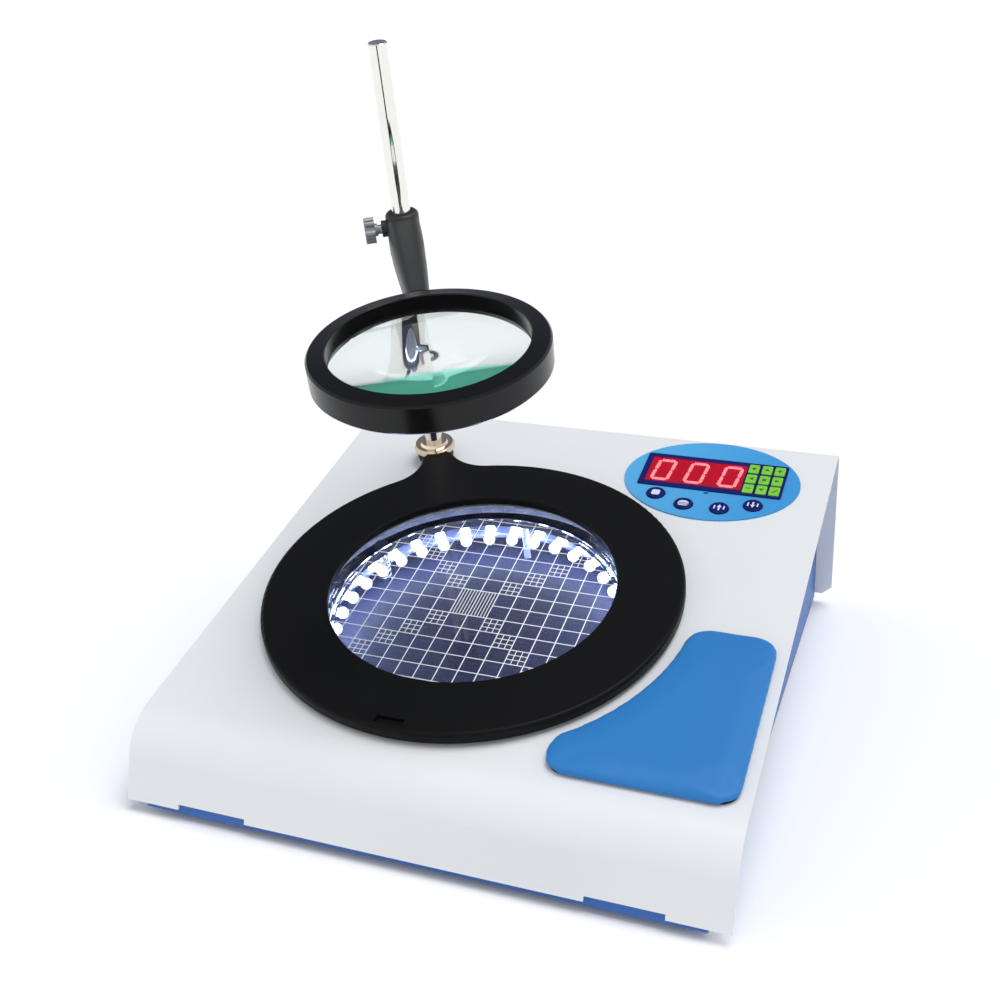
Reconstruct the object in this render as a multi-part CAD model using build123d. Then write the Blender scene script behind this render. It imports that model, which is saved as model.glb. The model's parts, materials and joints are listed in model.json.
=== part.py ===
from build123d import *
import math
import os

# Benchtop colony counter, in millimetres. +Z up, +X right, the operator sits at -Y.
# The origin is at the middle of the case's footprint, on the surface it stands on.
# Deck frame: u along +X, v up the slope, n out of the deck, zero at the dish's centre on the deck.

# Driving dimensions: the case
CASE_WIDTH = 287.0
SHEET = 1.2                 # sheet-metal thickness
SLOPE = 13.7                # deck above level, degrees
DECK_FRONT = -127.3         # front bend, along v from the dish's centre
DECK_REAR = 168.4           # rear bend
APRON_LEAN = 14.2           # apron from upright, its foot forward
REAR_LEAN = 17.7            # rear wall from upright, its foot backward
APRON_HEIGHT = 35.6
FRONT_BEND_R = 25.0
REAR_BEND_R = 7.0
FOOT_HEIGHT = 4.0
EDGE_Z = 6.5                # lower edge of the cover
WALL_INSET = 10.0           # side walls inside the deck's edges
FIT_GAP = 0.5               # cover to base pan
LIP_TOP = 20.0              # front and rear lips of the base pan
DISH_X = -18.25             # dish centre from the case's centre line

# Driving dimensions: the dish stage
WELL_R = 75.0
WELL_WALL = 3.0
RING_BORE_R = 73.8         # the ring covers the rim of the well
RING_R = 108.0
RING_TOP = 8.1
RING_BOTTOM = 2.6
DECK_HOLE_R = 79.5
GRID_TOP = -6.0
GLASS = 3.0
LEDGE_R = 73.2
LEDGE_BOTTOM = -12.0
CARRIER_BOTTOM = -14.0
GUIDE_RADIUS = 84.0         # guide pins and springs, from the dish's centre
GUIDE_ANGLES = (30, 150, 270)
HOUSING_R = 98.0
HOUSING_FLOOR = -37.0
LEDGE_N = -27.0             # lamp board rests here
LAMP_COUNT = 36
LAMP_N = -22.4
PLUNGER_V = 80.0
LEVER_ARM = 14.0            # lever pivot to plunger

# Driving dimensions: post and magnifier
POST_R = 5.0
POST_U = -66.5
POST_V = 116.1
POST_TOP = 243.6
POST_FOOT = -20.0
TAIL_WIDTH = 17.5
TAIL_END_R = 10.5
RUNNING = 0.05              # radial clearance of a sliding or turning fit
ARM_TURN = -62.4            # arm from +u, degrees
ARM_REACH = 134.8           # post axis to lens centre
FRAME_LOW = 132.5
FRAME_TOP = 146.5
FRAME_R = 55.8
FRAME_BORE = 46.6
LENS_R = 50.0
LENS_TOP = 140.6            # upper face of the lens's flat rim
LENS_EDGE = 3.2
TONGUE_LOW = 136.0          # the frame's tongue in the arm
TONGUE_TOP = 143.0
BOSS_R = 8.9
BOSS_TOP = 155.8
LINER_R = 6.0
SCREW_N = 147.5
SCREW_R = 2.5

# Driving dimensions: the panel
PANEL_U = 97.0
PANEL_V = 124.5
PANEL_LENGTH = 98.2
PANEL_WIDTH = 75.5
OVERLAY = 0.8
BEZEL = (57.1, 137.3, 113.0, 144.6)          # low u, high u, low v, high v
WINDOW = (60.4, 114.6, 117.0, 141.2)
BEZEL_TOP = 1.45
WINDOW_TOP = 1.25
DIGIT_N = 0.2               # face of the digit module
KEY_US = (118.5, 125.8, 132.9)
KEY_VS = (138.75, 128.8, 119.2)
KEY_SIZE = (5.8, 8.2)
BUTTON_PLACES = ((69.8, 105.6), (86.9, 98.6), (106.7, 98.3), (123.9, 104.4))
BUTTON_R = 5.2
DIGIT_US = (68.6, 87.4, 106.7)
DIGIT_V = 130.1
DIGIT_HEIGHT = 18.8
DIGIT_WIDTH = 9.0
DIGIT_SLANT = 5.0
BOARD = (50.0, 146.0, 92.0, 150.0)
BOARD_TOP = -11.2
BOARD_BOTTOM = -12.8
PILLAR_PLACES = ((53.5, 97), (141, 97), (53.5, 146.5), (141, 146.5))

# Driving dimensions: palm rest and rear wall
PAD = (70.7, 157.5, -108.6, -3.9)
PAD_ARC_R = 114.0
PAD_LOW = 0.85
PAD_TOP = 5.2
PAD_STUDS = ((92, -97), (146, -96), (146, -18))
STUD_R = 1.5
NUT_HEIGHT = 2.35
REAR_Z = 60.0               # height of the rear frame's origin on the rear wall
INLET_X = 92.0
ROCKER_X = 52.0
JACK_X = -58.0
KNOB_X = -92.0
ROCKER_PIN_R = 0.9

# Worked out from the above
SIN = math.sin(math.radians(SLOPE))
COS = math.cos(math.radians(SLOPE))
DISH_Z = EDGE_Z + APRON_HEIGHT - DECK_FRONT * SIN
REAR_BEND_Z = DISH_Z + DECK_REAR * SIN
FRONT_REACH = DECK_FRONT * COS - APRON_HEIGHT * math.tan(math.radians(APRON_LEAN))
REAR_REACH = DECK_REAR * COS + (REAR_BEND_Z - EDGE_Z) * math.tan(math.radians(REAR_LEAN))
DISH_Y = -(FRONT_REACH + REAR_REACH) / 2
DECK = Plane(origin=(DISH_X, DISH_Y, DISH_Z), x_dir=(1, 0, 0), z_dir=(0, -SIN, COS))
ARM = DECK * Location((POST_U, POST_V, 0), (0, 0, ARM_TURN))
REAR_Y = DISH_Y + DECK_REAR * COS + (REAR_BEND_Z - REAR_Z) * math.tan(math.radians(REAR_LEAN))
REAR_SIN = math.sin(math.radians(REAR_LEAN))
REAR_COS = math.cos(math.radians(REAR_LEAN))
REAR = Plane(origin=(0, REAR_Y, REAR_Z), x_dir=(-1, 0, 0), z_dir=(0, REAR_COS, REAR_SIN))
WALL_X = CASE_WIDTH / 2 - WALL_INSET
UNDER = -SHEET              # underside of the deck
SEAT = UNDER - 0.05         # what is bolted under the deck starts here
BASE = (Align.CENTER, Align.CENTER, Align.MIN)


def rod(radius, low, high, u=0.0, v=0.0):
    """A cylinder along n, from low to high."""
    return Pos(u, v, low) * Cylinder(radius, high - low, align=BASE)


def tube(outer, inner, low, high, u=0.0, v=0.0):
    """A ring along n, from low to high."""
    return rod(outer, low, high, u, v) - rod(inner, low - 1, high + 1, u, v)


def block(low_u, high_u, low_v, high_v, low, high):
    """A box between two limits each way."""
    size = (high_u - low_u, high_v - low_v, high - low)
    middle = ((low_u + high_u) / 2, (low_v + high_v) / 2, (low + high) / 2)
    return Pos(*middle) * Box(*size)


def around(radius, angles):
    """Points on a circle about the dish's centre."""
    return [(radius * math.cos(math.radians(a)), radius * math.sin(math.radians(a))) for a in angles]


def turned(points):
    """The solid that a closed outline of (radius, n) points makes about the n axis."""
    return revolve(Plane.XZ * make_face(Polyline(*points, close=True)), Axis.Z)


def top_rim(shape):
    """The edges of the highest flat face."""
    return shape.faces().sort_by(Axis.Z)[-1].edges()


def crossing(p, a, q, b):
    """Where the line through p along a meets the line through q along b."""
    across = a[0] * b[1] - a[1] * b[0]
    along = ((q[0] - p[0]) * b[1] - (q[1] - p[1]) * b[0]) / across
    return (p[0] + a[0] * along, p[1] + a[1] * along)


def case_solid(inset, bottom, half_width):
    """The case's side outline, moved in from its outer face by inset, across a width."""
    lean = math.radians(APRON_LEAN)
    down_front = (-math.sin(lean), -math.cos(lean))
    up_slope = (COS, SIN)
    down_rear = (REAR_SIN, -REAR_COS)
    front = (DISH_Y + DECK_FRONT * COS, DISH_Z + DECK_FRONT * SIN)
    rear = (DISH_Y + DECK_REAR * COS, DISH_Z + DECK_REAR * SIN)
    apron = (front[0] + math.cos(lean) * inset, front[1] - math.sin(lean) * inset)
    deck = (front[0] + SIN * inset, front[1] - COS * inset)
    wall = (rear[0] - REAR_COS * inset, rear[1] - REAR_SIN * inset)
    level = (0.0, bottom)
    points = [
        crossing(apron, down_front, level, (1, 0)),
        crossing(apron, down_front, deck, up_slope),
        crossing(deck, up_slope, wall, down_rear),
        crossing(wall, down_rear, level, (1, 0)),
    ]
    face = make_face(Polyline(*points, close=True))
    face = fillet(face.vertices().sort_by(Axis.Y)[-2], FRONT_BEND_R - inset)
    face = fillet(face.vertices().sort_by(Axis.Y)[-1], REAR_BEND_R - inset)
    return extrude(Plane.YZ * face, amount=half_width, both=True)


def foot_places():
    """Feet under the base pan, as (x, y)."""
    return [(x, y) for x in (-108, 108) for y in (-118, 128)]


def rear_screw_places():
    """Case screws on the rear wall, in the rear frame."""
    return [(x, -46) for x in (-120, -42, 42, 120)]


def top_cover():
    cover = case_solid(0, EDGE_Z, CASE_WIDTH / 2) - case_solid(SHEET, EDGE_Z - 5, CASE_WIDTH)
    for side in (-1, 1):
        middle = side * (CASE_WIDTH / 2 - 45.2)
        cover -= Pos(middle, DISH_Y + FRONT_REACH, EDGE_Z) * Box(35.0, 20, 5.0)
        corner = Pos(side * CASE_WIDTH / 2, DISH_Y + REAR_REACH, EDGE_Z) * Rot(0, 45, 0)
        cover -= corner * Box(8, 20, 8)
    deck = rod(DECK_HOLE_R, -5, 5)
    deck += rod(POST_R + 0.6, -5, 5, POST_U, POST_V)
    low_u, high_u, low_v, high_v = BEZEL
    deck += block(low_u + 0.1, high_u - 0.1, low_v + 0.1, high_v - 0.1, -5, 5)
    deck += [rod(BUTTON_R + 0.4, -5, 5, *place) for place in BUTTON_PLACES]
    deck += [rod(STUD_R + 0.3, -5, 5, *place) for place in PAD_STUDS]
    cover -= DECK * deck
    wall = Pos(INLET_X, 0) * Box(31, 31, 10)
    wall += Pos(ROCKER_X, 0) * Box(13.4, 19.8, 10)
    wall += Pos(JACK_X, 0) * Cylinder(4.2, 10)
    wall += Pos(KNOB_X, 0) * Cylinder(3.7, 10)
    wall += [Pos(x * 8, 14) * Box(3, 26, 10) for x in range(-4, 5)]
    wall += [Pos(x, y) * Cylinder(2.2, 10) for x, y in rear_screw_places()]
    cover -= REAR * wall
    studs = [rod(STUD_R, -7.2, UNDER + 0.4, *place) for place in lamp_studs() + socket_studs()]
    studs += [rod(3.0, BOARD_TOP, UNDER + 0.4, *place) for place in PILLAR_PLACES]
    studs += [rod(STUD_R, BOARD_BOTTOM - 3, BOARD_TOP + 1, *place) for place in PILLAR_PLACES]
    for stud in studs:
        cover += DECK * stud
    return cover


def base_pan():
    outer = case_solid(SHEET + FIT_GAP, FOOT_HEIGHT, WALL_X)
    inner = case_solid(2 * SHEET + FIT_GAP, FOOT_HEIGHT + SHEET, WALL_X - SHEET)
    pan = outer - inner
    pan -= Pos(0, 0, LIP_TOP) * Box(2 * (WALL_X - SHEET), 400, 200, align=BASE)
    pan -= [Pos(x, y, 0) * Cylinder(2.2, 20) for x, y in foot_places()]
    pan -= [Pos(x * 9, 60, 0) * Box(4, 60, 20) for x in range(-6, 7)]
    for x, y in rear_screw_places():
        pan -= REAR * (Pos(x, y) * Cylinder(2.2, 20))
    return pan


def feet():
    foot = Cone(9.5, 8.0, FOOT_HEIGHT, align=BASE) - Cylinder(2.1, 20) - Cylinder(4.2, 2 * 2.2)
    return Part() + [Pos(x, y, 0) * foot for x, y in foot_places()]


def case_screws():
    """Pan-head screws: four up through the feet, four through the rear wall."""
    head = Cylinder(3.9, 2.0, align=BASE) - Box(4.6, 0.9, 2.0) - Box(0.9, 4.6, 2.0)
    screw = Pos(0, 0, -2.0) * head + Cylinder(2.0, 9.0, align=BASE)
    group = [Pos(x, y, 2.2) * screw for x, y in foot_places()]
    rear = Rot(180, 0, 0) * screw
    group += [REAR * (Pos(x, y, 0.05) * rear) for x, y in rear_screw_places()]
    return Part() + group


def lamp_studs():
    """Weld studs for the lamp housing."""
    return around(101.8, (45, 135, 225, 315))


def socket_studs():
    """Weld studs for the post socket."""
    return [(POST_U + u, POST_V + v) for u, v in around(15, (60, 180, 300))]


def deck_nuts():
    """One kind of nut on every stud under the deck."""
    nut = extrude(RegularPolygon(3.18, 6), NUT_HEIGHT) - Cylinder(STUD_R + 0.05, 20)
    places = [(u, v, SEAT - 2.5 - NUT_HEIGHT) for u, v in lamp_studs()]
    places += [(u, v, SEAT - 4.0 - NUT_HEIGHT) for u, v in socket_studs()]
    places += [(u, v, BOARD_BOTTOM - NUT_HEIGHT) for u, v in PILLAR_PLACES]
    places += [(u, v, SEAT - NUT_HEIGHT) for u, v in PAD_STUDS]
    return DECK * (Part() + [Pos(*place) * nut for place in places])


def stage_ring():
    """The pressure ring, with a tail that narrows in two hollow curves towards the post."""
    outline = Circle(RING_R)
    reach = math.hypot(POST_U, POST_V)
    turn = math.degrees(math.atan2(POST_V, POST_U))
    outline += Rot(0, 0, turn) * Pos(reach / 2, 0) * Rectangle(reach, TAIL_WIDTH)
    necks = [p for p in outline.vertices() if abs(Vector(p.X, p.Y).length - RING_R) < 0.5]
    outline = fillet(necks, 24)
    outline += Pos(POST_U, POST_V) * Circle(TAIL_END_R)
    ring = extrude(outline, RING_TOP - RING_BOTTOM)
    ring = fillet(top_rim(ring), 1.8)
    ring = Pos(0, 0, RING_BOTTOM) * ring
    ring -= rod(RING_BORE_R, 0, 10)
    ring = chamfer(ring.edges().filter_by(GeomType.CIRCLE).filter_by(
        lambda e: abs(e.radius - RING_BORE_R) < 0.01 and e.center().Z > 5), 0.6)
    ring -= rod(WELL_R + WELL_WALL + 0.05, 0, RING_BOTTOM + 1.5)
    ring -= tube(103, 83, 0, RING_TOP - 2.2)
    ring -= rod(8.02, 0, 10, POST_U, POST_V)
    ring -= block(-8.4, 5.2, -104.4, -100.4, RING_TOP - 1.6, 10)
    return DECK * ring


def guide_bush():
    bush = turned([(5.05, RING_BOTTOM), (8.0, RING_BOTTOM), (8.0, RING_TOP + 0.02), (12.0, RING_TOP + 0.02),
                   (12.0, 10.4), (11.0, 11.2), (8.4, 11.2), (7.6, 12.8), (5.05, 12.8)])
    return DECK * (Pos(POST_U, POST_V) * bush)


def dish_well():
    outer = WELL_R + WELL_WALL
    lip = RING_BOTTOM + 1.45
    glass_seat = GRID_TOP - GLASS - 0.05
    return DECK * turned([(WELL_R, lip), (outer, lip), (outer, LEDGE_BOTTOM), (LEDGE_R, LEDGE_BOTTOM),
                          (LEDGE_R, glass_seat), (WELL_R, glass_seat)])


def grid_plate():
    plate = rod(WELL_R - 0.1, GRID_TOP - GLASS, GRID_TOP)
    return DECK * chamfer(top_rim(plate), 0.4)


def stage_carrier():
    carrier = tube(89.5, 76.5, CARRIER_BOTTOM, LEDGE_BOTTOM - 0.05)
    carrier -= [rod(2.05, -40, 0, *place) for place in around(GUIDE_RADIUS, GUIDE_ANGLES)]
    return DECK * carrier


def guide_pins():
    """Headed pins that stand on the lamp housing's floor, guide the carrier and stop it rising."""
    pin = rod(2.0, HOUSING_FLOOR - 2, LEDGE_BOTTOM + 0.1) + rod(4.0, LEDGE_BOTTOM, LEDGE_BOTTOM + 2.1)
    return DECK * (Part() + [Pos(*place) * pin for place in around(GUIDE_RADIUS, GUIDE_ANGLES)])


def stage_springs():
    """Coil springs around the guide pins, between floor and carrier."""
    height = CARRIER_BOTTOM - HOUSING_FLOOR - 0.9
    coil = Helix(pitch=height / 7, height=height, radius=3.4)
    wire = sweep(Plane(origin=coil @ 0, z_dir=coil % 0) * Circle(0.4), path=coil, is_frenet=True)
    coils = [Pos(u, v, HOUSING_FLOOR + 0.45) * wire for u, v in around(GUIDE_RADIUS, GUIDE_ANGLES)]
    return DECK * (Part() + coils)


def count_plunger():
    return DECK * rod(2.0, -41.5, CARRIER_BOTTOM - 0.02, 0, PLUNGER_V)


def count_switch():
    body = block(-5, 17, PLUNGER_V - 3.2, PLUNGER_V + 3.0, -56, -45.0)
    for u in (-1, 13):
        body -= Pos(u, PLUNGER_V, -53) * Rot(90, 0, 0) * Cylinder(1.2, 20)
    body += [block(u - 1.6, u + 1.6, PLUNGER_V - 0.3, PLUNGER_V + 0.3, -60, -55.5) for u in (-2, 6, 14)]
    return DECK * body


def count_switch_lever():
    """A thin strip on a round pivot, tilted up to just under the plunger."""
    tilt = math.degrees(math.atan2(2.0, LEVER_ARM))
    strip = Pos(-17 / 2, 0, 0) * Box(17, 4, 0.4) + Rot(90, 0, 0) * Cylinder(0.8, 4)
    return DECK * (Pos(LEVER_ARM, PLUNGER_V, -44.1) * Rot(0, tilt, 0) * strip)


def lamp_housing():
    """A round can under the deck, with a ledge for the lamp board and a lug for the switch."""
    floor = HOUSING_FLOOR
    can = turned([(0, floor - 2), (HOUSING_R, floor - 2), (HOUSING_R, SEAT - 2.5), (106, SEAT - 2.5),
                  (106, SEAT), (93.6, SEAT), (93.6, LEDGE_N), (91, LEDGE_N), (91, floor), (0, floor)])
    can -= [rod(2.02, -50, -30, *place) for place in around(GUIDE_RADIUS, GUIDE_ANGLES)]
    can -= rod(2.6, -50, -30, 0, PLUNGER_V)
    can -= [rod(STUD_R + 0.15, -10, 0, *place) for place in lamp_studs()]
    can += block(-5, 17, PLUNGER_V + 3.02, PLUNGER_V + 5.5, -54, floor - 1)
    return DECK * can


def led_board():
    """A ring-shaped board, notched where the guide pins and the plunger pass."""
    board = tube(93.4, 82.5, LEDGE_N + 0.02, LEDGE_N + 1.6)
    board -= [rod(4.4, -50, 0, *place) for place in around(GUIDE_RADIUS, GUIDE_ANGLES)]
    board -= rod(2.6, -50, 0, 0, PLUNGER_V)
    return DECK * board


def leds():
    """Round-nosed lamps that lie on the board and point at the dish's centre."""
    lamp = Cylinder(2.5, 5.6, align=BASE) + Pos(0, 0, 5.6) * Sphere(2.5) + Cylinder(2.9, 1.0, align=BASE)
    lamp = Pos(84.6, 0, LAMP_N) * Rot(0, -90, 0) * lamp
    step = 360 / LAMP_COUNT
    return DECK * (Part() + [Rot(0, 0, (i + 0.5) * step) * lamp for i in range(LAMP_COUNT)])


def dark_field_plate():
    return DECK * rod(66, HOUSING_FLOOR + 0.02, HOUSING_FLOOR + 2)


def pad_outline():
    """The palm rest's outline: a rectangle hollowed by an arc about the dish, with round corners."""
    low_u, high_u, low_v, high_v = PAD
    face = Pos((low_u + high_u) / 2, (low_v + high_v) / 2) * Rectangle(high_u - low_u, high_v - low_v)
    face -= Circle(PAD_ARC_R)
    corners = face.vertices()
    inner = corners.filter_by(lambda p: abs(Vector(p.X, p.Y).length - PAD_ARC_R) < 0.1)
    face = fillet(inner.sort_by(Axis.Y)[-1], 13)
    corners = face.vertices()
    face = fillet(corners.sort_by(lambda p: p.X + p.Y)[-1], 12)
    face = fillet(face.vertices().sort_by(lambda p: p.X - p.Y)[-1], 11)
    corners = face.vertices().filter_by(lambda p: p.X < low_u + 0.1).sort_by(Axis.Y)
    face = fillet(corners[0], 10)
    corners = face.vertices().filter_by(lambda p: abs(Vector(p.X, p.Y).length - PAD_ARC_R) < 0.1)
    return fillet(corners.sort_by(Axis.Y)[0], 11)


def palm_rest():
    pad = Pos(0, 0, PAD_LOW) * extrude(pad_outline(), PAD_TOP - PAD_LOW)
    return DECK * fillet(top_rim(pad), 2.0)


def palm_rest_base():
    plate = Pos(0, 0, 0.02) * extrude(offset(pad_outline(), -1.5), 0.78)
    plate += [rod(STUD_R, -4.6, 0.4, *place) for place in PAD_STUDS]
    return DECK * plate


def display_panel():
    """The oval overlay, open for the bezel and the round buttons."""
    panel = Pos(PANEL_U, PANEL_V, 0.02) * extrude(Ellipse(PANEL_LENGTH / 2, PANEL_WIDTH / 2), OVERLAY - 0.02)
    low_u, high_u, low_v, high_v = BEZEL
    panel -= block(low_u + 0.1, high_u - 0.1, low_v + 0.1, high_v - 0.1, -5, 5)
    panel -= [rod(BUTTON_R + 0.3, -5, 5, *place) for place in BUTTON_PLACES]
    return DECK * panel


def key_places():
    """Centres of the nine keys, row by row from the top."""
    return [(u, v) for v in KEY_VS for u in KEY_US]


def display_bezel():
    """A frame that drops through the deck, with a pocket for the window and nine key openings."""
    low_u, high_u, low_v, high_v = BEZEL
    plate = block(low_u, high_u, low_v, high_v, OVERLAY + 0.05, BEZEL_TOP)
    plate = fillet(plate.edges().filter_by(Axis.Z), 1.2)
    bezel = plate + block(low_u + 0.4, high_u - 0.4, low_v + 0.4, high_v - 0.4, -3.2, OVERLAY + 0.3)
    low_u, high_u, low_v, high_v = WINDOW
    bezel -= block(low_u, high_u, low_v, high_v, -5, 5)
    bezel -= block(low_u - 1.0, high_u + 0.15, low_v - 0.8, high_v + 0.8, -5, 0.65)
    width, height = KEY_SIZE
    for u, v in key_places():
        bezel -= Pos(u, v) * Box(width + 0.6, height + 0.6, 20)
    return DECK * bezel


def display_window():
    """A red cap: a rim held under the bezel, and a raised face flush with it."""
    low_u, high_u, low_v, high_v = WINDOW
    window = block(low_u - 0.9, high_u + 0.05, low_v - 0.7, high_v + 0.7, -0.9, 0.6)
    window += block(low_u + 0.05, high_u - 0.05, low_v + 0.05, high_v - 0.05, 0.5, WINDOW_TOP)
    window -= block(low_u + 0.4, high_u - 0.4, low_v + 0.4, high_v - 0.4, -2, WINDOW_TOP - 0.5)
    return DECK * window


def digit_module():
    low_u, high_u, low_v, high_v = WINDOW
    module = block(low_u - 0.4, high_u - 0.2, low_v, high_v, BOARD_TOP + 0.02, -1.75)
    module += block(low_u + 0.6, high_u - 0.6, low_v + 0.6, high_v - 0.6, -1.8, DIGIT_N)
    return DECK * module


def segment(length):
    """One lit bar, pointed at both ends, standing along v."""
    half = length / 2
    side = 0.85
    points = [(0, -half), (side, -half + side), (side, half - side), (0, half), (-side, half - side),
              (-side, side - half)]
    return make_face(Polyline(*points, close=True))


def digit_segments():
    """The six lit bars of a zero, three times, leaning to the right."""
    bars = []
    lean = math.tan(math.radians(DIGIT_SLANT))
    upright = DIGIT_HEIGHT / 2 - 0.6
    level = DIGIT_WIDTH - 0.6
    for middle in DIGIT_US:
        for side in (-1, 1):
            for half in (-1, 1):
                v = half * DIGIT_HEIGHT / 4
                place = Pos(middle + side * DIGIT_WIDTH / 2 + v * lean, DIGIT_V + v)
                bars.append(place * Rot(0, 0, -DIGIT_SLANT) * segment(upright))
        for half in (-1, 1):
            v = half * DIGIT_HEIGHT / 2
            bars.append(Pos(middle + v * lean, DIGIT_V + v) * Rot(0, 0, 90) * segment(level))
    lit = [Pos(0, 0, DIGIT_N + 0.02) * extrude(bar, 0.4) for bar in bars]
    return DECK * (Part() + lit)


def key(u, v):
    """A small key with a retaining foot and a stem that reaches its switch."""
    width, height = KEY_SIZE
    cap = extrude(RectangleRounded(width, height, 0.8), 1.9 + 3.4)
    cap = Pos(0, 0, -3.4) * fillet(top_rim(cap), 0.35)
    cap += block(-3.4, 3.4, -4.7, 4.7, -4.7, -3.4)
    cap += rod(1.3, -8.4, -4.5)
    return DECK * (Pos(u, v) * cap)


def button(u, v):
    """A round button with a retaining foot and a stem."""
    cap = rod(BUTTON_R, -1.6, 1.7)
    cap = fillet(top_rim(cap), 0.5)
    cap += rod(6.6, -3.0, UNDER - 0.1)
    cap += rod(1.6, -8.1, -2.8)
    return DECK * (Pos(u, v) * cap)


def tact_switches():
    """One switch under each key and button."""
    switch = block(-2.9, 2.9, -2.9, 2.9, BOARD_TOP + 0.02, -9.2) + rod(1.6, -9.4, -9.0)
    places = key_places() + list(BUTTON_PLACES)
    return DECK * (Part() + [Pos(*place) * switch for place in places])


def control_board():
    low_u, high_u, low_v, high_v = BOARD
    board = block(low_u, high_u, low_v, high_v, BOARD_BOTTOM, BOARD_TOP)
    board -= [rod(STUD_R + 0.15, -20, 0, *place) for place in PILLAR_PLACES]
    return DECK * board


def buzzer():
    can = tube(6, 0.9, -21.3, BOARD_BOTTOM - 2.0, 128, 100)
    return DECK * (can + rod(6, -15, BOARD_BOTTOM - 0.02, 128, 100))


def post():
    bar = rod(POST_R, POST_FOOT, POST_TOP, POST_U, POST_V)
    return DECK * chamfer(top_rim(bar), 0.5)


def post_socket():
    socket = rod(19, SEAT - 4.0, SEAT, POST_U, POST_V) + rod(9, -24, SEAT - 3, POST_U, POST_V)
    socket -= rod(POST_R + 0.02, POST_FOOT - 0.02, 5, POST_U, POST_V)
    socket -= [rod(STUD_R + 0.15, -20, 5, *place) for place in socket_studs()]
    return DECK * socket


def arm_liner():
    """A thin sleeve between post and arm, flanged below."""
    foot, shoulder, top = FRAME_LOW - 1.5, FRAME_LOW - 0.05, BOSS_TOP + 0.4
    bore = POST_R + RUNNING
    return ARM * turned([(bore, foot), (7.5, foot), (7.5, shoulder), (LINER_R, shoulder), (LINER_R, top),
                         (bore, top)])


def magnifier_arm():
    """A boss on the post that runs forward into a tapering arm."""
    stations = ((0, 17.2, 155.0, 5.0), (17, 17.6, 153.6, 5.6), (48, 15.0, 150.2, 4.8), (82, 11.2, 146.3, 3.4))
    sections = []
    for along, width, top, corner in stations:
        place = Plane(origin=(along, 0, (top + FRAME_LOW) / 2), x_dir=(0, 1, 0), z_dir=(1, 0, 0))
        sections.append(place * RectangleRounded(width, top - FRAME_LOW, corner))
    arm = loft(sections)
    boss = fillet(top_rim(rod(BOSS_R, FRAME_LOW, BOSS_TOP)), 2.4)
    arm += boss
    arm += Pos(0, -8, SCREW_N) * Rot(90, 0, 0) * Cylinder(4.4, 3.6, align=BASE)
    arm -= rod(LINER_R + RUNNING, 100, 200)
    arm -= Pos(0, 0, SCREW_N) * Rot(90, 0, 0) * Cylinder(SCREW_R + RUNNING, 30, align=BASE)
    arm -= rod(FRAME_R + 0.05, 100, 200, ARM_REACH, 0)
    arm -= block(ARM_REACH - FRAME_R - 9.2, 200, -2.6, 2.6, TONGUE_LOW - 0.2, TONGUE_TOP + 0.2)
    return ARM * arm


def lens_frame():
    """A ring with a lip over the lens's rim and a tongue that enters the arm."""
    low, top, lip = FRAME_LOW, FRAME_TOP, LENS_TOP + 0.2
    frame = turned([(54.4, low), (FRAME_R, low + 1.4), (FRAME_R, top - 1.0), (54.9, top),
                    (FRAME_BORE + 0.5, top + 1.25), (FRAME_BORE, top + 0.8), (FRAME_BORE, lip),
                    (50.1, lip), (50.1, low)])
    frame = Pos(ARM_REACH, 0, 0) * frame
    frame += block(ARM_REACH - FRAME_R - 9, ARM_REACH - FRAME_R + 2, -2.5, 2.5, TONGUE_LOW, TONGUE_TOP)
    return ARM * frame


def lens():
    """Glass, convex on both sides, with a flat rim."""
    rim = 46.2
    low = LENS_TOP - LENS_EDGE
    high = LENS_TOP
    rise = 3.5
    outline = [
        Line((0, low - rise), (0, high + rise)),
        TangentArc((0, high + rise), (rim, high), tangent=(1, 0)),
        Polyline((rim, high), (LENS_R, high), (LENS_R, low), (rim, low)),
        TangentArc((0, low - rise), (rim, low), tangent=(1, 0)),
    ]
    glass = revolve(Plane.XZ * make_face(Curve() + outline), Axis.Z)
    return ARM * (Pos(ARM_REACH, 0, 0) * glass)


def lens_retainer():
    ring = tube(50.05, 46.8, FRAME_LOW + 0.3, LENS_TOP - LENS_EDGE - 0.1)
    ring -= [Rot(0, 0, a) * Pos(48.5, 0, FRAME_LOW) * Box(6, 2.4, 2.4) for a in (45, 225)]
    return ARM * (Pos(ARM_REACH, 0, 0) * ring)


def thumb_screw():
    """A lobed knob on a short stem, square to the arm."""
    outline = Circle(5.4)
    for i in range(6):
        outline += Rot(0, 0, i * 60) * Pos(5.0, 0) * Circle(1.9)
    outline = fillet(outline.vertices(), 0.9)
    knob = extrude(outline, 5.5)
    knob = chamfer(top_rim(knob), 0.4)
    screw = Pos(0, 0, 15.2) * knob + rod(3.4, 13.8, 15.4) + rod(SCREW_R, 7.7, 14.5)
    return ARM * (Pos(0, 0, SCREW_N) * Rot(90, 0, 0) * screw)


def thumb_screw_pad():
    return ARM * (Pos(0, 0, SCREW_N) * Rot(90, 0, 0) * rod(SCREW_R, 6.1, 7.65))


def power_inlet():
    """A mains inlet with three flat pins, and a slot for the fuse drawer below it."""
    body = Box(30.4, 30.4, 22, align=(Align.CENTER, Align.CENTER, Align.MAX))
    flange = extrude(RectangleRounded(50, 33, 4), 2.5)
    body = Pos(0, 0, 0.1) * body + Pos(0, 0, 0.05) * flange
    body -= block(-12, 12, -3.5, 12.5, -13, 5)
    body -= block(-11.3, 11.3, -13.6, -6.4, -18, 5)
    body -= [Pos(x, 0) * Cylinder(1.8, 20) for x in (-20, 20)]
    for x, y in ((0, 8), (-7, 2), (7, 2)):
        body += block(x - 1, x + 1, y - 2.4, y + 2.4, -14, -0.5)
    return REAR * (Pos(INLET_X, 0) * body)


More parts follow.
